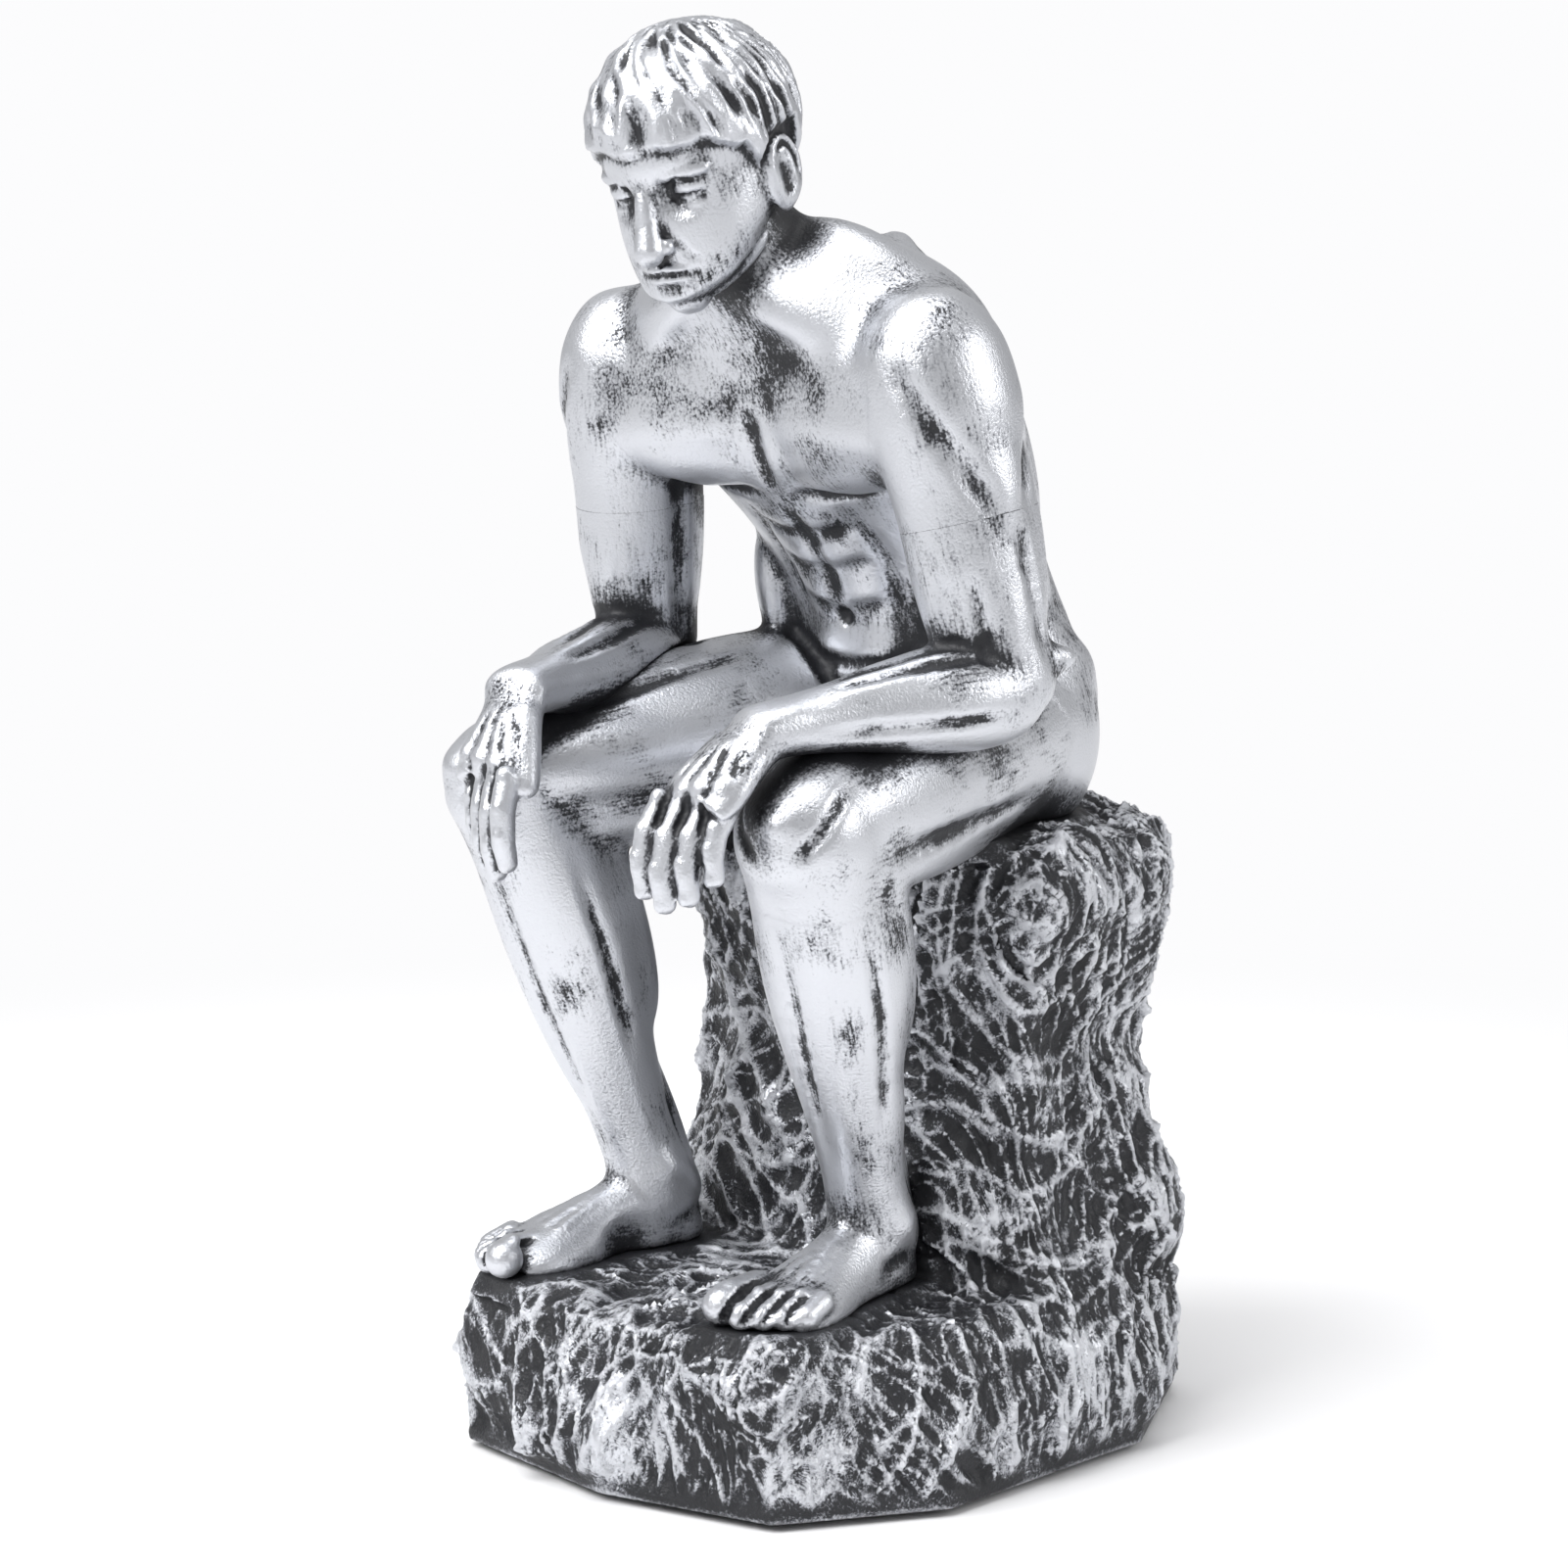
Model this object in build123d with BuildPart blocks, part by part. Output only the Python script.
from build123d import *
import os
from math import cos, pi, radians, sin, sqrt, tan

# A seated man on a rock: a desk ornament of cast resin in an antique silver finish.
# The figure faces -Y, +X is its left side, +Z is up. The origin is the middle of the underside.
# It is made as castings that are pinned and bonded together, on a hollow rock closed from below.

# Rock: heights from the table, half sizes of its outlines, and its walls
SEAT_HEIGHT = 114.0
LEDGE_HEIGHT = 33.0
SKIRT_HEIGHT = 13.0
ROCK_HALF_WIDTH = 57.0
ROCK_HALF_DEPTH = 64.0
SEAT_HALF_WIDTH = 44.0
SEAT_HALF_DEPTH = 32.0
SEAT_BACK = 28.0
SEAT_WALL = 9.0
LEDGE_WALL = 10.0
ROCK_WALL = 12.0
RIM_WALL = 4.0

# Underside: felt pad, closing plate and its screws
FELT_THICKNESS = 1.6
FELT_PROUD = 0.8
FELT_MARGIN = 1.0
PLATE_THICKNESS = 3.0
PLATE_CLEARANCE = 0.3
SCREW_RADIUS = 1.5
SCREW_HEAD_RADIUS = 2.9
SCREW_LENGTH = 11.0
SCREW_SLOT_WIDTH = 0.7
SCREW_SLOT_DEPTH = 0.6
SCREW_HEAD_ANGLE = 90.0

# Stud that clamps the figure to the seat, with its washer and nut
STUD_RADIUS = 3.0
STUD_IN_FIGURE = 24.0
STUD_BELOW_NUT = 3.0
STUD_CLEARANCE = 0.3
WASHER_RADIUS = 7.0
WASHER_THICKNESS = 1.2
NUT_ACROSS_FLATS = 10.0
NUT_THICKNESS = 5.0

# Dowels between the castings: radius, and how far each enters either piece
NECK_DOWEL_RADIUS = 2.0
NECK_DOWEL_REACH = 9.0
ARM_DOWEL_RADIUS = 1.6
ARM_DOWEL_REACH = 8.0
LEG_DOWEL_RADIUS = 2.0
LEG_DOWEL_REACH = 10.0
FOOT_DOWEL_RADIUS = 1.5
FOOT_DOWEL_REACH = 6.5

# Skeleton: bone lengths and joint places
HIP_SPAN = 32.0
HIP_BACK = 30.0
HIP_RISE = 18.5
TORSO_LENGTH = 91.0
SHOULDER_SPAN = 76.0
SHOULDER_DROP = 5.0
NECK_LENGTH = 21.0
HEAD_HEIGHT = 44.0
UPPER_ARM_LENGTH = 59.0
FOREARM_LENGTH = 48.0
HAND_LENGTH = 37.0
THIGH_LENGTH = 78.0
SHANK_LENGTH = 82.0
ANKLE_HEIGHT = 12.0
FOOT_LENGTH = 51.0
LEFT_ANKLE_SIDE = 25.0
LEFT_ANKLE_FRONT = 14.0
RIGHT_ANKLE_SIDE = 26.0
RIGHT_ANKLE_FRONT = 20.0
WRIST_ABOVE_KNEE = 18.5
LEFT_WRIST_INWARD = 3.0
RIGHT_WRIST_INWARD = 11.0
WRIST_PAST_KNEE = 7.0
HEEL_BACK = 10.0

# Flesh: the radius or half width that each form's section shares follow
CHEST_HALF_WIDTH = 33.5
CHEST_HALF_DEPTH = 22.5
NECK_RADIUS = 12.2
UPPER_ARM_RADIUS = 12.0
FOREARM_RADIUS = 10.2
HAND_HALF_WIDTH = 8.8
FINGER_RADIUS = 2.35
THIGH_RADIUS = 17.6
KNEE_RADIUS = 12.8
SHANK_RADIUS = 12.8
FOOT_HALF_WIDTH = 10.0
TOE_RADIUS = 2.8
HEAD_HALF_WIDTH = 16.2

# Pose: angles in degrees
HIP_LEAN = 4.0
NECK_LEAN = 54.0
NECK_PITCH = 44.0
HEAD_BOW = 24.0
HEAD_TURN = 10.0
FOOT_TURN_OUT = 9.0
LEFT_PALM_PITCH = 40.0
RIGHT_PALM_PITCH = 52.0
FINGER_CURL = 20.0

# Where each joint between castings lies along its bone
ARM_JOINT_SHARE = 0.48
LEG_JOINT_SHARE = 0.46
NECK_JOINT_SHARE = 0.66

SECTION_POINTS = 12
OVERRUN = 2.0
LEFT = 1
RIGHT = -1
FROM_BELOW = (Align.CENTER, Align.CENTER, Align.MIN)
X_SIDE = Vector(1, 0, 0)


# Helpers for the flesh
def bend_point(start, end, first_length, second_length, toward):
    """Joint between two bones that span start to end, bent toward a direction."""
    span = end - start
    along = span.normalized()
    reach = (first_length**2 - second_length**2 + span.length**2) / (2 * span.length)
    rise = sqrt(first_length**2 - reach**2)
    side = (toward - along * toward.dot(along)).normalized()
    return start + along * reach + side * rise


def bone_plane(start, end, place, side):
    """Plane across a bone at a share of its length, with its x axis toward side."""
    along = (end - start).normalized()
    across = (side - along * side.dot(along)).normalized()
    return Plane(origin=start + (end - start) * place, x_dir=across, z_dir=along)


def section_points(wide, upper, lower, shift):
    """Closed outline of four quarter ellipses: half width, depth on each y side, and a shift along y."""
    points = []
    for step in range(SECTION_POINTS):
        turn = 2 * pi * step / SECTION_POINTS
        deep = upper if sin(turn) > 0 else lower
        points.append((wide * cos(turn), deep * sin(turn) + shift))
    return points


def limb(planes, section_shares, width, depth):
    """Solid through body sections. Each row of shares is half width, depths on the two y sides, shift."""
    with BuildPart() as form:
        for plane, (wide, upper, lower, shift) in zip(planes, section_shares):
            points = section_points(wide * width, upper * depth, lower * depth, shift * depth)
            with BuildSketch(plane):
                with BuildLine():
                    Spline(points, periodic=True)
                make_face()
        loft()
    return form.part


def bone_limb(start, end, rows, radius):
    """Limb along one bone: rows are place along the bone, then a row of section shares."""
    planes = [bone_plane(start, end, row[0], X_SIDE) for row in rows]
    return limb(planes, [row[1:] for row in rows], radius, radius)


def digit(points, radii):
    """Tapered finger or toe through points, with a radius at each and a round tip."""
    with BuildPart() as form:
        for index, (point, radius) in enumerate(zip(points, radii)):
            before = points[max(index - 1, 0)]
            after = points[min(index + 1, len(points) - 1)]
            way = bone_plane(before, after, 0, X_SIDE)
            with BuildSketch(Plane(origin=point, x_dir=way.x_dir, z_dir=way.z_dir)):
                Circle(radius)
        loft(ruled=True)
        with Locations(points[-1]):
            Sphere(radii[-1])
    return form.part


def ellipsoid(plane, x_radius, y_radius, z_radius):
    """Unit sphere scaled to three radii and placed on a plane."""
    with BuildPart() as form:
        Sphere(1)
        scale(by=(x_radius, y_radius, z_radius))
    return plane.location * form.part


def one_side(shape, plane, keep):
    """The part of a shape on one side of a plane."""
    with BuildPart() as form:
        add(shape)
        split(bisect_by=plane, keep=keep)
    return form.part


# Skeleton
SHOULDER_PLACE_SHARE = 0.93
KNEE_SPLAY_SHARE = 0.3
ELBOW_SPLAY_SHARE = 0.32
ELBOW_SINK_SHARE = 0.1


def spine_plane(place):
    """Plane across the spine's arc: 0 is between the hips, 1 between the shoulders, y is to the back."""
    low = radians(HIP_LEAN)
    turn = radians(NECK_LEAN - HIP_LEAN)
    radius = TORSO_LENGTH / turn
    lean = low + turn * place
    back = HIP_BACK - radius * (cos(low) - cos(lean))
    rise = SEAT_HEIGHT + HIP_RISE + radius * (sin(lean) - sin(low))
    return Plane(origin=(0, back, rise), x_dir=(1, 0, 0), z_dir=(0, -sin(lean), cos(lean)))


def hip(hand):
    """Hip joint of one side."""
    return spine_plane(0).origin + Vector(hand * HIP_SPAN / 2, 0, 0)


def ankle(hand):
    """Ankle joint of one side, standing on the ledge."""
    side = LEFT_ANKLE_SIDE if hand == LEFT else RIGHT_ANKLE_SIDE
    front = LEFT_ANKLE_FRONT if hand == LEFT else RIGHT_ANKLE_FRONT
    return Vector(hand * side, -front, LEDGE_HEIGHT + ANKLE_HEIGHT)


def knee(hand):
    """Knee joint of one side, bent forward and a little outward."""
    toward = Vector(hand * KNEE_SPLAY_SHARE, -1, 0)
    return bend_point(hip(hand), ankle(hand), THIGH_LENGTH, SHANK_LENGTH, toward)


def shoulder(hand):
    """Shoulder joint of one side, hanging a little forward of the spine."""
    drop = Vector(hand * SHOULDER_SPAN / 2, -SHOULDER_DROP, -SHOULDER_DROP)
    return spine_plane(SHOULDER_PLACE_SHARE).origin + drop


def wrist(hand):
    """Wrist of one side, resting above its knee."""
    inward = LEFT_WRIST_INWARD if hand == LEFT else RIGHT_WRIST_INWARD
    return knee(hand) + Vector(-hand * inward, -WRIST_PAST_KNEE, WRIST_ABOVE_KNEE)


def elbow(hand):
    """Elbow of one side, bent backward."""
    toward = Vector(hand * ELBOW_SPLAY_SHARE, 1, -ELBOW_SINK_SHARE)
    return bend_point(shoulder(hand), wrist(hand), UPPER_ARM_LENGTH, FOREARM_LENGTH, toward)


# Rock outlines: corners as shares of the half sizes, the same count at every level
FOOT_CORNER_SHARES = [
    (0.99, -0.42), (0.70, -0.86), (0.10, -1.00), (-0.60, -0.93), (-0.97, -0.52),
    (-1.00, 0.35), (-0.74, 0.90), (-0.05, 1.00), (0.66, 0.94), (1.00, 0.40),
]
LEDGE_CORNER_SHARES = [
    (0.90, -0.38), (0.66, -0.82), (0.08, -0.95), (-0.57, -0.90), (-0.89, -0.48),
    (-0.90, 0.34), (-0.66, 0.80), (-0.05, 0.90), (0.60, 0.84), (0.90, 0.38),
]
SEAT_CORNER_SHARES = [
    (1.00, -0.62), (0.72, -0.96), (0.12, -1.00), (-0.60, -0.94), (-0.96, -0.66),
    (-1.00, 0.40), (-0.80, 0.92), (-0.10, 1.00), (0.74, 0.94), (1.00, 0.50),
]
SKIRT_GROWTH_SHARE = 1.02
BLOCK_ROOT_SHARE = 1.12
BLOCK_WAIST_SHARE = 0.90
BLOCK_BROW_SHARE = 1.06
WAIST_RISE_SHARE = 0.52
BROW_RISE_SHARE = 0.86
BROKEN_RISE_SHARE = 0.55

# Lumps of the hewn sides: how far each corner of a level stands out or in
EVEN_SHARES = (1.0,) * len(FOOT_CORNER_SHARES)
SKIRT_LUMP_SHARES = (1.00, 0.98, 1.01, 1.00, 0.98, 1.00, 0.98, 1.00, 0.98, 1.00)
BROKEN_LUMP_SHARES = (0.97, 1.03, 0.97, 1.03, 0.98, 1.02, 1.02, 0.97, 1.03, 0.97)
ROOT_LUMP_SHARES = (1.00, 0.95, 1.00, 0.96, 1.01, 0.97, 1.00, 0.98, 1.00, 0.97)
LOW_LUMP_SHARES = (0.95, 1.02, 0.96, 1.03, 0.96, 1.03, 0.95, 1.02, 0.96, 1.04)
WAIST_LUMP_SHARES = (1.04, 0.97, 1.03, 0.97, 1.05, 0.97, 1.03, 0.98, 1.04, 0.97)
HIGH_LUMP_SHARES = (0.96, 1.03, 0.97, 1.03, 0.95, 1.04, 0.96, 1.03, 0.96, 1.04)


def outline(shares, half_width, half_depth, back, height, lumps=EVEN_SHARES):
    """Closed corner outline on a level plane, with its lumps."""
    with BuildSketch(Plane.XY.offset(height)) as sketch:
        with BuildLine():
            corners = [
                (x * lump * half_width, y * lump * half_depth + back) for (x, y), lump in zip(shares, lumps)
            ]
            Polyline(corners, close=True)
        make_face()
    return sketch.sketch


def stack(levels):
    """Solid with straight sides through outlines, from the lowest up."""
    with BuildPart() as form:
        loft(levels, ruled=True)
    return form.part


def plinth_outline(shares, growth, inset, height, lumps=EVEN_SHARES):
    """Outline of the plinth, inset by a wall."""
    half_width = growth * ROCK_HALF_WIDTH - inset
    return outline(shares, half_width, growth * ROCK_HALF_DEPTH - inset, 0, height, lumps)


def block_outline(growth, inset, height, lumps=EVEN_SHARES):
    """Outline of the seat block, inset by a wall."""
    half_width = growth * SEAT_HALF_WIDTH - inset
    half_depth = growth * SEAT_HALF_DEPTH - inset
    return outline(SEAT_CORNER_SHARES, half_width, half_depth, SEAT_BACK, height, lumps)


rim_height = FELT_PROUD
plate_bottom = FELT_THICKNESS
plate_top = plate_bottom + PLATE_THICKNESS
block_rise = SEAT_HEIGHT - LEDGE_HEIGHT
waist_height = LEDGE_HEIGHT + WAIST_RISE_SHARE * block_rise
brow_height = LEDGE_HEIGHT + BROW_RISE_SHARE * block_rise
broken_height = SKIRT_HEIGHT + BROKEN_RISE_SHARE * (LEDGE_HEIGHT - SKIRT_HEIGHT)
low_height = (LEDGE_HEIGHT + waist_height) / 2
high_height = (waist_height + brow_height) / 2
low_growth = (BLOCK_ROOT_SHARE + BLOCK_WAIST_SHARE) / 2
high_growth = (BLOCK_WAIST_SHARE + BLOCK_BROW_SHARE) / 2
cavity_top = SEAT_HEIGHT - SEAT_WALL
ledge_cavity_top = LEDGE_HEIGHT - LEDGE_WALL
stud_side = 0
stud_back = HIP_BACK

plinth = stack([
    plinth_outline(FOOT_CORNER_SHARES, 1, 0, rim_height),
    plinth_outline(FOOT_CORNER_SHARES, SKIRT_GROWTH_SHARE, 0, SKIRT_HEIGHT, SKIRT_LUMP_SHARES),
    plinth_outline(FOOT_CORNER_SHARES, 1, 0, broken_height, BROKEN_LUMP_SHARES),
    plinth_outline(LEDGE_CORNER_SHARES, 1, 0, LEDGE_HEIGHT),
])
block = stack([
    block_outline(BLOCK_WAIST_SHARE, 0, SKIRT_HEIGHT),
    block_outline(BLOCK_ROOT_SHARE, 0, LEDGE_HEIGHT, ROOT_LUMP_SHARES),
    block_outline(low_growth, 0, low_height, LOW_LUMP_SHARES),
    block_outline(BLOCK_WAIST_SHARE, 0, waist_height, WAIST_LUMP_SHARES),
    block_outline(high_growth, 0, high_height, HIGH_LUMP_SHARES),
    block_outline(BLOCK_BROW_SHARE, 0, brow_height),
    block_outline(1, 0, SEAT_HEIGHT),
])
plinth_cavity = stack([
    plinth_outline(FOOT_CORNER_SHARES, 1, ROCK_WALL, plate_top - OVERRUN),
    plinth_outline(LEDGE_CORNER_SHARES, 1, ROCK_WALL, ledge_cavity_top),
])
block_cavity = stack([
    block_outline(BLOCK_WAIST_SHARE, ROCK_WALL, ledge_cavity_top - OVERRUN),
    block_outline(BLOCK_WAIST_SHARE, ROCK_WALL, cavity_top),
])
plate_recess = stack([
    plinth_outline(FOOT_CORNER_SHARES, 1, RIM_WALL, rim_height - OVERRUN),
    plinth_outline(FOOT_CORNER_SHARES, 1, RIM_WALL, plate_top),
])

# Screws stand in the middle of the seat that the plate rests on
screw_inset = (RIM_WALL + ROCK_WALL) / 2
SCREW_CORNERS = (1, 3, 6, 8)
screw_places = [
    (
        FOOT_CORNER_SHARES[corner][0] * (ROCK_HALF_WIDTH - screw_inset),
        FOOT_CORNER_SHARES[corner][1] * (ROCK_HALF_DEPTH - screw_inset),
    )
    for corner in SCREW_CORNERS
]
foot_dowel_places = [ankle(hand) - Vector(0, 0, ANKLE_HEIGHT) for hand in (LEFT, RIGHT)]

with BuildPart() as rock_base:
    add(plinth)
    add(block)
    add(plinth_cavity, mode=Mode.SUBTRACT)
    add(block_cavity, mode=Mode.SUBTRACT)
    add(plate_recess, mode=Mode.SUBTRACT)
    with Locations((stud_side, stud_back, SEAT_HEIGHT)):
        Hole(STUD_RADIUS + STUD_CLEARANCE, SEAT_WALL + OVERRUN)
    with Locations(foot_dowel_places):
        Hole(FOOT_DOWEL_RADIUS, FOOT_DOWEL_REACH)
    with Locations([(x, y, plate_top) for x, y in screw_places]):
        Cylinder(
            SCREW_RADIUS,
            SCREW_LENGTH - PLATE_THICKNESS,
            align=FROM_BELOW,
            mode=Mode.SUBTRACT,
        )
rock_base.part.label = "rock_base"

with BuildPart() as base_plate:
    with BuildSketch(Plane.XY.offset(plate_bottom)):
        add(plinth_outline(FOOT_CORNER_SHARES, 1, RIM_WALL + PLATE_CLEARANCE, 0))
    extrude(amount=PLATE_THICKNESS)
    with Locations(Plane.XY.offset(plate_bottom) * Location((0, 0, 0), (180, 0, 0))):
        with Locations([(x, -y) for x, y in screw_places]):
            CounterSinkHole(SCREW_RADIUS, SCREW_HEAD_RADIUS, counter_sink_angle=SCREW_HEAD_ANGLE)
base_plate.part.label = "base_plate"


# Trunk: pelvis to the root of the neck, rows of place, half width, back, front and shift
TRUNK_ROWS_SHARES = [
    (-0.24, 0.80, 0.75, 0.60, 0),
    (-0.12, 1.04, 1.05, 0.80, 0),
    (0.04, 1.06, 1.08, 0.84, 0),
    (0.20, 0.93, 0.92, 0.84, 0),
    (0.36, 0.87, 0.84, 0.88, 0),
    (0.54, 0.96, 0.92, 1.00, 0),
    (0.72, 1.12, 1.00, 1.10, 0),
    (0.86, 1.20, 0.98, 1.00, 0),
    (0.97, 1.17, 0.82, 0.74, 0),
    (1.06, 0.90, 0.64, 0.52, 0),
    (1.13, 0.54, 0.50, 0.40, 0),
]
NECK_ROWS_SHARES = [
    (-0.15, 1.30, 1.20, 0.90, 0),
    (0.30, 1.04, 1.02, 0.95, 0),
    (0.70, 0.96, 1.00, 0.95, 0),
    (1.35, 0.94, 1.02, 0.85, 0),
]
# Muscles over each side of the trunk, chest, neck to shoulder, shoulder blade and loin: two ends as
# place on the spine, side and back, then half width and half thickness in chest depths
TRUNK_MUSCLE_SHARES = [
    ((0.80, 0.12, -0.82), (0.86, 1.00, -0.34), 0.40, 0.24),
    ((1.14, 0.24, 0.40), (0.95, 1.02, 0.16), 0.36, 0.28),
    ((0.64, 0.40, 0.80), (0.98, 0.62, 0.58), 0.42, 0.24),
    ((-0.02, 0.20, 0.80), (0.62, 0.18, 0.74), 0.26, 0.24),
]
ledge_plane = Plane.XY.offset(LEDGE_HEIGHT)


def trunk_muscle(hand, first, last, wide, thick):
    """One muscle as an ellipsoid whose thickness points away from the spine."""
    start, end = [
        spine_plane(place).from_local_coords((hand * side * CHEST_HALF_WIDTH, back * CHEST_HALF_DEPTH, 0))
        for place, side, back in (first, last)
    ]
    outward = (start + end) / 2 - spine_plane((first[0] + last[0]) / 2).origin
    return ellipsoid(
        bone_plane(start, end, 1 / 2, outward),
        thick * CHEST_HALF_DEPTH,
        wide * CHEST_HALF_DEPTH,
        (end - start).length / 2,
    )


trunk = limb(
    [spine_plane(row[0]) for row in TRUNK_ROWS_SHARES],
    [row[1:] for row in TRUNK_ROWS_SHARES],
    CHEST_HALF_WIDTH,
    CHEST_HALF_DEPTH,
)
neck_start = spine_plane(1).origin
neck_end = neck_start + Vector(0, -sin(radians(NECK_PITCH)), cos(radians(NECK_PITCH))) * NECK_LENGTH
neck = bone_limb(neck_start, neck_end, NECK_ROWS_SHARES, NECK_RADIUS)
neck_joint = bone_plane(neck_start, neck_end, NECK_JOINT_SHARE, X_SIDE)

# Head: face and cranium on a plane at the top of the neck, x to the left, y to the back
FACE_ROWS_SHARES = [
    (-0.235, 0.22, 0.26, 0.24, -0.80),
    (-0.20, 0.42, 0.50, 0.38, -0.78),
    (-0.10, 0.66, 0.85, 0.50, -0.68),
    (0.02, 0.82, 1.00, 0.76, -0.42),
    (0.14, 0.90, 1.00, 0.98, -0.18),
    (0.26, 0.92, 1.00, 1.10, -0.04),
    (0.36, 0.92, 1.00, 1.17, 0),
    (0.50, 0.84, 0.90, 1.02, 0),
    (0.62, 0.55, 0.60, 0.66, 0),
]
CRANIUM_RISE_SHARE = 0.40
CRANIUM_HEIGHT_SHARE = 0.385
CRANIUM_DEPTH_SHARE = 1.21
CRANIUM_BACK_SHARE = 0.08
NOSE_SHARES = [(0.30, -1.10, 0.10), (0.17, -1.22, 0.13), (0.075, -1.33, 0.17)]
EAR_PLACE_SHARES = (0.93, 0.10, 0.17)
EAR_SIZE_SHARES = (0.12, 0.32, 0.46)

head_plane = Plane(origin=neck_end, x_dir=(1, 0, 0), z_dir=(0, 0, 1)).rotated((HEAD_BOW, 0, HEAD_TURN))


def head_point(side, back, rise):
    """Point in the head: shares of the half width sideways and back, and of the height upward."""
    return head_plane.from_local_coords((side * HEAD_HALF_WIDTH, back * HEAD_HALF_WIDTH, rise * HEAD_HEIGHT))


def head_ellipsoid(centre, x_radius, y_radius, z_radius):
    """Ellipsoid that stands square to the head."""
    return ellipsoid(
        Plane(origin=centre, x_dir=head_plane.x_dir, z_dir=head_plane.z_dir), x_radius, y_radius, z_radius
    )


face = limb(
    [head_plane.offset(row[0] * HEAD_HEIGHT) for row in FACE_ROWS_SHARES],
    [row[1:] for row in FACE_ROWS_SHARES],
    HEAD_HALF_WIDTH,
    HEAD_HALF_WIDTH,
)
cranium = head_ellipsoid(
    head_point(0, CRANIUM_BACK_SHARE, CRANIUM_RISE_SHARE),
    HEAD_HALF_WIDTH,
    CRANIUM_DEPTH_SHARE * HEAD_HALF_WIDTH,
    CRANIUM_HEIGHT_SHARE * HEAD_HEIGHT,
)
nose = digit(
    [head_point(0, back, rise) for rise, back, radius in NOSE_SHARES],
    [radius * HEAD_HALF_WIDTH for rise, back, radius in NOSE_SHARES],
)
ears = [
    head_ellipsoid(
        head_point(hand * EAR_PLACE_SHARES[0], EAR_PLACE_SHARES[1], EAR_PLACE_SHARES[2]),
        *[share * HEAD_HALF_WIDTH for share in EAR_SIZE_SHARES],
    )
    for hand in (LEFT, RIGHT)
]

# Legs: rows of place, half width, upper or front side, lower or back side, and shift
THIGH_ROWS_SHARES = [
    (-0.10, 0.90, 0.80, 1.05, 0),
    (0.10, 1.12, 1.00, 1.16, 0),
    (0.35, 1.10, 1.06, 1.10, 0),
    (0.60, 0.98, 0.98, 0.98, 0),
    (0.82, 0.82, 0.84, 0.80, 0),
    (1.00, 0.70, 0.76, 0.62, 0),
    (1.08, 0.50, 0.56, 0.46, 0),
]
SHANK_ROWS_SHARES = [
    (-0.08, 0.74, 0.72, 0.70, 0),
    (0.04, 0.96, 0.94, 0.94, 0),
    (0.14, 0.98, 0.86, 1.05, 0),
    (0.28, 1.06, 0.80, 1.28, 0),
    (0.45, 0.98, 0.78, 1.12, 0),
    (0.65, 0.74, 0.68, 0.78, 0),
    (0.85, 0.58, 0.58, 0.64, 0),
    (1.00, 0.62, 0.62, 0.72, 0),
    (1.08, 0.60, 0.60, 0.70, 0),
]
FOOT_ROWS_SHARES = [
    (0.00, 0.34, 0.50, 0.20, 0),
    (0.06, 0.62, 0.90, 0.20, 0),
    (0.20, 0.74, 1.30, 0.20, 0),
    (0.38, 0.78, 1.12, 0.20, 0),
    (0.58, 0.92, 0.76, 0.20, 0),
    (0.76, 1.00, 0.52, 0.20, 0),
    (0.86, 0.80, 0.34, 0.20, 0),
]
TOE_SHARES = [
    (0.62, 1.00, 1.30), (0.16, 0.99, 0.94), (-0.18, 0.955, 0.88), (-0.48, 0.91, 0.84), (-0.76, 0.86, 0.86),
]
TOE_ROOT_SHARE = 0.70
TOE_BEND_SHARE = 0.10
TOE_RISE_SHARE = 0.34


def foot_plane(hand):
    """Upright plane at the back of the heel, facing along the foot, with its y axis up."""
    turn = radians(hand * FOOT_TURN_OUT)
    way = Vector(sin(turn), -cos(turn), 0)
    heel = ankle(hand) - Vector(0, 0, ANKLE_HEIGHT) - way * HEEL_BACK
    return Plane(origin=heel, x_dir=(cos(turn), sin(turn), 0), z_dir=way)


def foot_forms(hand):
    """Foot and its five toes, down through the ledge."""
    start = foot_plane(hand)
    forms = [
        limb(
            [start.offset(row[0] * FOOT_LENGTH) for row in FOOT_ROWS_SHARES],
            [row[1:] for row in FOOT_ROWS_SHARES],
            FOOT_HALF_WIDTH,
            ANKLE_HEIGHT,
        )
    ]
    for inward, reach, girth in TOE_SHARES:
        radius = girth * TOE_RADIUS
        side = -hand * inward * FOOT_HALF_WIDTH
        root = start.from_local_coords((side, TOE_RISE_SHARE * ANKLE_HEIGHT, TOE_ROOT_SHARE * FOOT_LENGTH))
        bend = start.from_local_coords(
            (side, TOE_RISE_SHARE * ANKLE_HEIGHT, (reach - TOE_BEND_SHARE) * FOOT_LENGTH - radius)
        )
        tip = start.from_local_coords((side, radius, reach * FOOT_LENGTH - radius))
        forms.append(digit([root, bend, tip], [radius, radius, radius]))
    return forms


def thigh(hand):
    """Thigh from inside the pelvis to the knee."""
    return bone_limb(hip(hand), knee(hand), THIGH_ROWS_SHARES, THIGH_RADIUS)


def leg_forms(hand):
    """Forms from the knee down."""
    shank = bone_limb(knee(hand), ankle(hand), SHANK_ROWS_SHARES, SHANK_RADIUS)
    with BuildPart() as cap:
        with Locations(knee(hand)):
            Sphere(KNEE_RADIUS)
    return [shank, cap.part, *foot_forms(hand)]


def leg_joint(hand):
    """Plane between the torso casting and a leg casting."""
    return bone_plane(hip(hand), knee(hand), LEG_JOINT_SHARE, X_SIDE)


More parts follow.
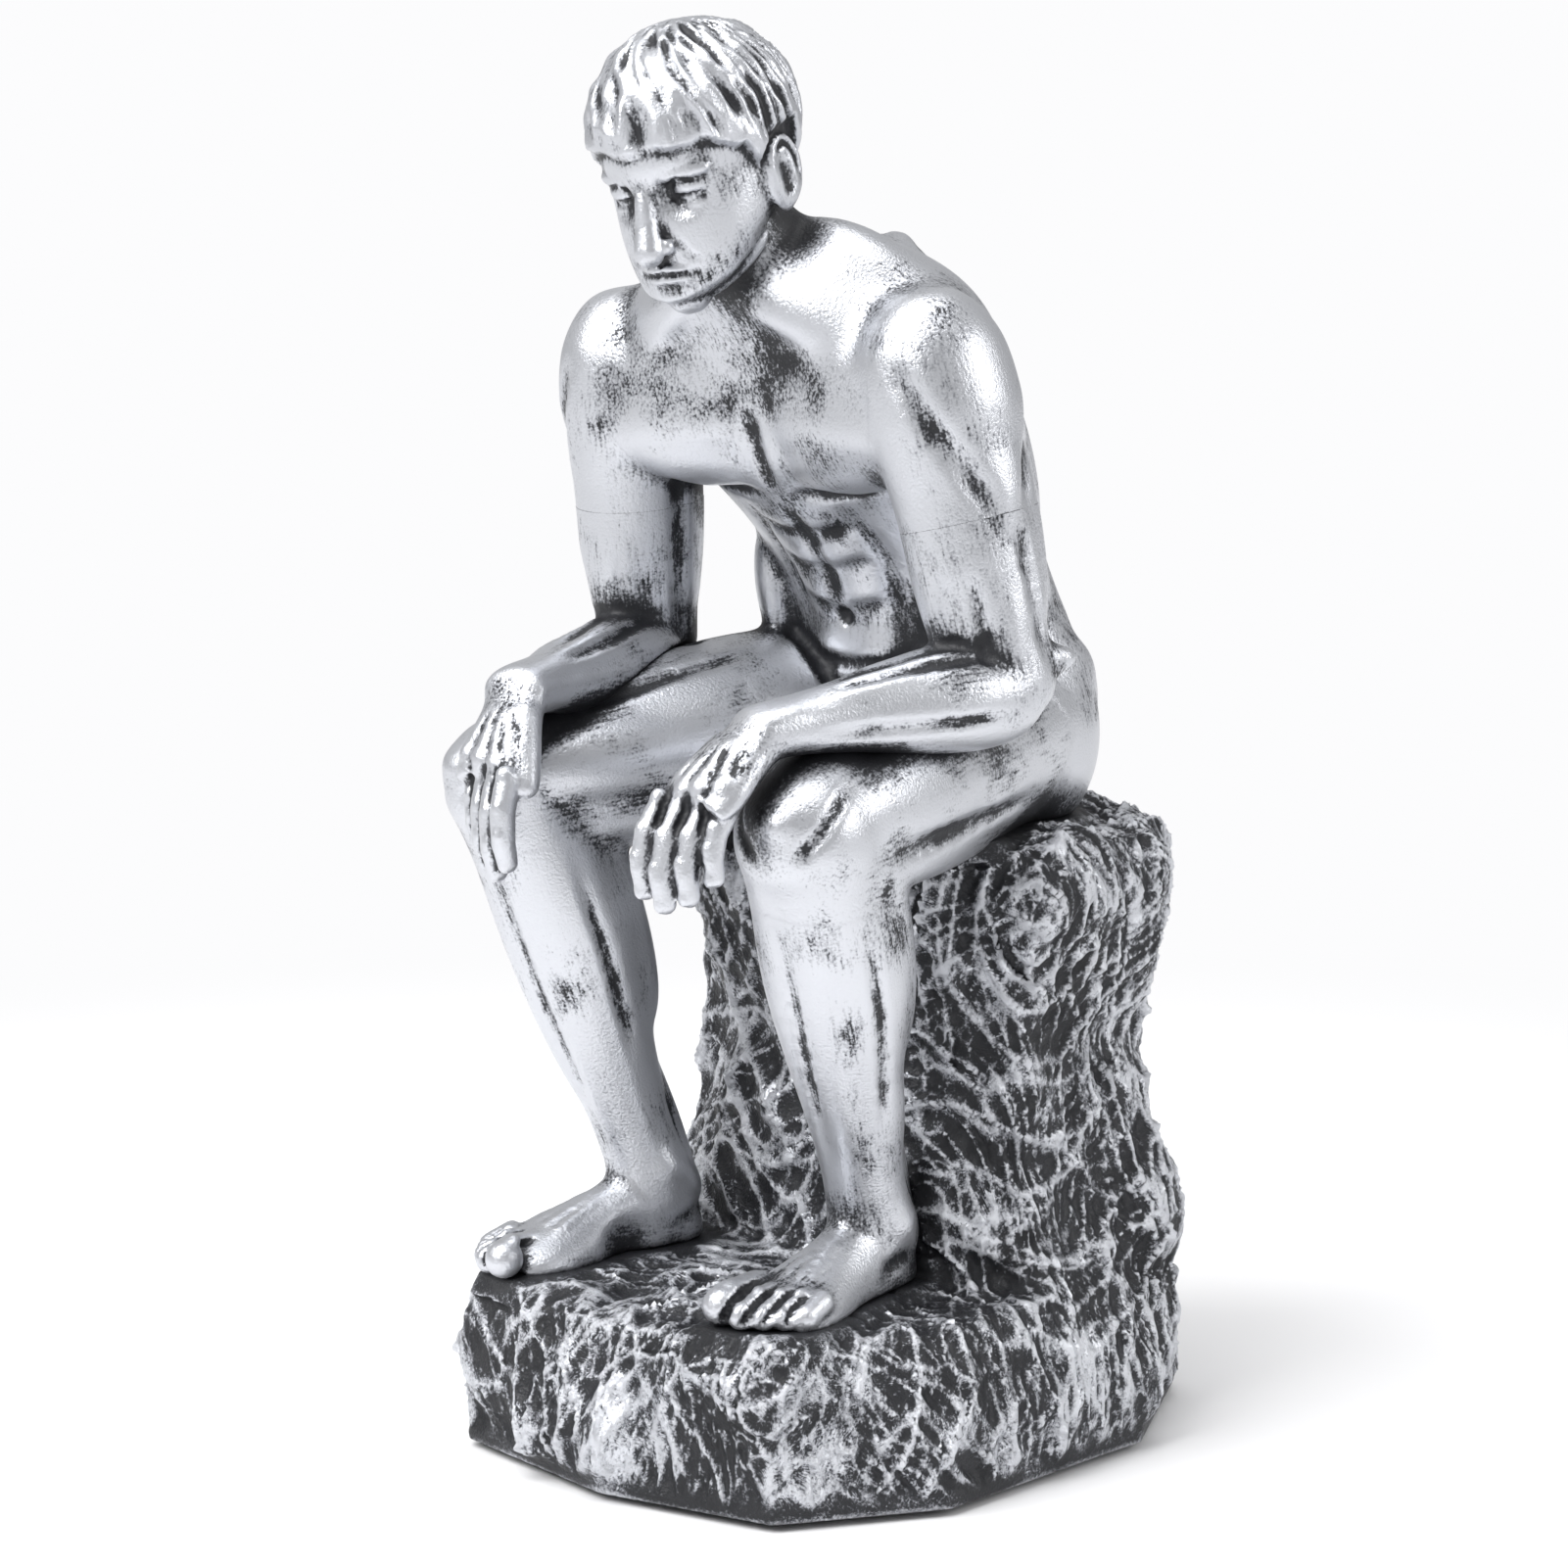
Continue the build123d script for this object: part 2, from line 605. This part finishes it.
# Arms
UPPER_ARM_ROWS_SHARES = [
    (-0.21, 0.40, 0.44, 0.44, 0),
    (-0.15, 0.76, 0.84, 0.84, 0),
    (-0.04, 1.02, 1.12, 1.12, 0),
    (0.15, 1.10, 1.20, 1.20, 0),
    (0.40, 0.92, 1.06, 1.06, 0),
    (0.62, 0.86, 1.04, 1.02, 0),
    (0.85, 0.80, 0.82, 0.86, 0),
    (1.00, 0.78, 0.74, 0.80, 0),
    (1.08, 0.50, 0.48, 0.52, 0),
]
FOREARM_ROWS_SHARES = [
    (-0.10, 0.66, 0.60, 0.60, 0),
    (0.05, 1.00, 0.90, 0.92, 0),
    (0.25, 1.08, 0.96, 0.92, 0),
    (0.50, 0.90, 0.80, 0.76, 0),
    (0.80, 0.68, 0.58, 0.56, 0),
    (1.00, 0.66, 0.50, 0.48, 0),
    (1.08, 0.66, 0.48, 0.46, 0),
]
PALM_ROWS_SHARES = [
    (-0.14, 0.60, 0.48, 0.46, 0),
    (0.12, 0.68, 0.52, 0.48, 0),
    (0.50, 0.92, 0.48, 0.46, 0),
    (0.90, 1.02, 0.40, 0.40, 0),
    (1.06, 0.94, 0.28, 0.30, 0),
]
PALM_SHARE = 0.47
FINGER_SHARES = [(0.74, 0.46, 1.00), (0.25, 0.52, 1.02), (-0.24, 0.48, 0.96), (-0.70, 0.38, 0.86)]
FINGER_ROOT_SHARE = 0.94
FINGER_BONE_SHARES = (0.45, 0.32, 0.23)
FINGER_TAPER_SHARES = (1.08, 1.00, 0.94, 0.80)
THUMB_ROOT_SHARES = (0.50, 0.22)
THUMB_BONE_SHARES = (0.22, 0.20)
THUMB_GIRTH_SHARES = (1.50, 1.22, 0.96)
THUMB_SPREAD_SHARE = 0.45


def hand_forms(hand):
    """Palm, four fingers and thumb, drooping from the wrist."""
    heading = wrist(hand) - elbow(hand)
    level = Vector(heading.X, heading.Y, 0).normalized()
    inner = Vector(-hand * abs(level.Y), hand * level.X, 0)
    pitch = LEFT_PALM_PITCH if hand == LEFT else RIGHT_PALM_PITCH

    def way(curls):
        fall = radians(pitch + curls * FINGER_CURL)
        return level * cos(fall) - Vector(0, 0, sin(fall))

    start = wrist(hand)
    palm_way = way(0) * (PALM_SHARE * HAND_LENGTH)
    forms = [bone_limb(start, start + palm_way, PALM_ROWS_SHARES, HAND_HALF_WIDTH)]
    for inward, length, girth in FINGER_SHARES:
        points = [start + palm_way * FINGER_ROOT_SHARE + inner * (inward * HAND_HALF_WIDTH)]
        for curls, bone in enumerate(FINGER_BONE_SHARES, 1):
            points.append(points[-1] + way(curls) * (bone * length * HAND_LENGTH))
        forms.append(digit(points, [taper * girth * FINGER_RADIUS for taper in FINGER_TAPER_SHARES]))
    side, place = THUMB_ROOT_SHARES
    points = [start + palm_way * place + inner * (side * HAND_HALF_WIDTH)]
    spread = (way(1) + inner * THUMB_SPREAD_SHARE).normalized()
    for bone in THUMB_BONE_SHARES:
        points.append(points[-1] + spread * (bone * HAND_LENGTH))
    forms.append(digit(points, [girth * FINGER_RADIUS for girth in THUMB_GIRTH_SHARES]))
    return forms


def upper_arm(hand):
    """Upper arm from the top of the shoulder to the elbow."""
    return bone_limb(shoulder(hand), elbow(hand), UPPER_ARM_ROWS_SHARES, UPPER_ARM_RADIUS)


def arm_forms(hand):
    """Forms from the elbow on."""
    return [bone_limb(elbow(hand), wrist(hand), FOREARM_ROWS_SHARES, FOREARM_RADIUS), *hand_forms(hand)]


def arm_joint(hand):
    """Plane between the torso casting and an arm casting."""
    return bone_plane(shoulder(hand), elbow(hand), ARM_JOINT_SHARE, X_SIDE)


thighs = {hand: thigh(hand) for hand in (LEFT, RIGHT)}
upper_arms = {hand: upper_arm(hand) for hand in (LEFT, RIGHT)}


# Dowels: round pins that run the same reach to both sides of a joint
def dowels(planes, radius, reach):
    """One pin through the origin of each plane."""
    with BuildPart() as pins:
        with Locations(*planes):
            Cylinder(radius, 2 * reach)
    return pins.part


neck_dowel = dowels([neck_joint], NECK_DOWEL_RADIUS, NECK_DOWEL_REACH)
neck_dowel.label = "neck_dowel"
arm_dowels = dowels([arm_joint(LEFT), arm_joint(RIGHT)], ARM_DOWEL_RADIUS, ARM_DOWEL_REACH)
arm_dowels.label = "arm_dowels"
leg_dowels = dowels([leg_joint(LEFT), leg_joint(RIGHT)], LEG_DOWEL_RADIUS, LEG_DOWEL_REACH)
leg_dowels.label = "leg_dowels"
foot_dowels = dowels([Plane(place) for place in foot_dowel_places], FOOT_DOWEL_RADIUS, FOOT_DOWEL_REACH)
foot_dowels.label = "foot_dowels"

# Castings of the figure
with BuildPart() as neck_root:
    add(trunk)
    add(neck)
    for hand in (LEFT, RIGHT):
        add([trunk_muscle(hand, *muscle) for muscle in TRUNK_MUSCLE_SHARES])
    split(bisect_by=neck_joint, keep=Keep.BOTTOM)

with BuildPart() as head:
    add(cranium)
    add(face)
    add(one_side(neck, neck_joint, Keep.TOP))
    add(nose)
    add(ears)
    add([neck_root.part, neck_dowel], mode=Mode.SUBTRACT)
head.part.label = "head"

with BuildPart() as torso:
    add(neck_root.part)
    for hand in (LEFT, RIGHT):
        add(one_side(thighs[hand], leg_joint(hand), Keep.BOTTOM))
        add(one_side(upper_arms[hand], arm_joint(hand), Keep.BOTTOM))
    add(block, mode=Mode.SUBTRACT)
    with Locations((stud_side, stud_back, SEAT_HEIGHT)):
        Cylinder(STUD_RADIUS, STUD_IN_FIGURE, align=FROM_BELOW, mode=Mode.SUBTRACT)
    add([neck_dowel, arm_dowels, leg_dowels], mode=Mode.SUBTRACT)
torso.part.label = "torso"


def leg_casting(hand, name):
    """Leg of one side: lower thigh, knee, shank and foot, flat on the ledge."""
    with BuildPart() as casting:
        add(one_side(thighs[hand], leg_joint(hand), Keep.TOP))
        add(leg_forms(hand))
        split(bisect_by=ledge_plane, keep=Keep.TOP)
        add([block, leg_dowels, foot_dowels], mode=Mode.SUBTRACT)
    casting.part.label = name
    return casting.part


def arm_casting(hand, name, leg):
    """Arm of one side: elbow, forearm and hand, shaped to the leg and torso that it rests on."""
    with BuildPart() as casting:
        add(one_side(upper_arms[hand], arm_joint(hand), Keep.TOP))
        add(arm_forms(hand))
        add([leg, torso.part, arm_dowels], mode=Mode.SUBTRACT)
    casting.part.label = name
    return casting.part


left_leg = leg_casting(LEFT, "left_leg")
right_leg = leg_casting(RIGHT, "right_leg")
left_arm = arm_casting(LEFT, "left_arm", left_leg)
right_arm = arm_casting(RIGHT, "right_arm", right_leg)

# Stud, washer and nut that clamp the figure to the seat from inside the rock
washer_bottom = cavity_top - WASHER_THICKNESS
nut_bottom = washer_bottom - NUT_THICKNESS
stud_bottom = nut_bottom - STUD_BELOW_NUT

with BuildPart() as seat_stud:
    with Locations((stud_side, stud_back, stud_bottom)):
        Cylinder(STUD_RADIUS, SEAT_HEIGHT + STUD_IN_FIGURE - stud_bottom, align=FROM_BELOW)
seat_stud.part.label = "seat_stud"

with BuildPart() as seat_washer:
    with BuildSketch(Plane.XY.offset(washer_bottom)):
        with Locations((stud_side, stud_back)):
            Circle(WASHER_RADIUS)
            Circle(STUD_RADIUS + STUD_CLEARANCE, mode=Mode.SUBTRACT)
    extrude(amount=WASHER_THICKNESS)
seat_washer.part.label = "seat_washer"

with BuildPart() as seat_nut:
    with BuildSketch(Plane.XY.offset(nut_bottom)):
        with Locations((stud_side, stud_back)):
            RegularPolygon(NUT_ACROSS_FLATS / 2, 6, major_radius=False)
            Circle(STUD_RADIUS, mode=Mode.SUBTRACT)
    extrude(amount=NUT_THICKNESS)
seat_nut.part.label = "seat_nut"

# Underside: screws through the plate, and the felt that covers them
screw_head_depth = (SCREW_HEAD_RADIUS - SCREW_RADIUS) / tan(radians(SCREW_HEAD_ANGLE / 2))

with BuildPart() as base_screws:
    with Locations([(x, y, plate_bottom) for x, y in screw_places]):
        Cylinder(SCREW_RADIUS, SCREW_LENGTH, align=FROM_BELOW)
        Cone(SCREW_HEAD_RADIUS, SCREW_RADIUS, screw_head_depth, align=FROM_BELOW)
        Box(2 * SCREW_HEAD_RADIUS, SCREW_SLOT_WIDTH, SCREW_SLOT_DEPTH, align=FROM_BELOW, mode=Mode.SUBTRACT)
base_screws.part.label = "base_screws"

with BuildPart() as felt_pad:
    with BuildSketch():
        add(plinth_outline(FOOT_CORNER_SHARES, 1, RIM_WALL + FELT_MARGIN, 0))
    extrude(amount=FELT_THICKNESS)
felt_pad.part.label = "felt_pad"

os.makedirs("parts", exist_ok=True)
made = [rock_base, base_plate, base_screws, felt_pad, seat_stud, seat_washer, seat_nut, torso, head]
pieces = [builder.part for builder in made] + [left_arm, right_arm, left_leg, right_leg]
pieces += [neck_dowel, arm_dowels, leg_dowels, foot_dowels]
for piece in pieces:
    export_step(piece, f"parts/{piece.label}.step")
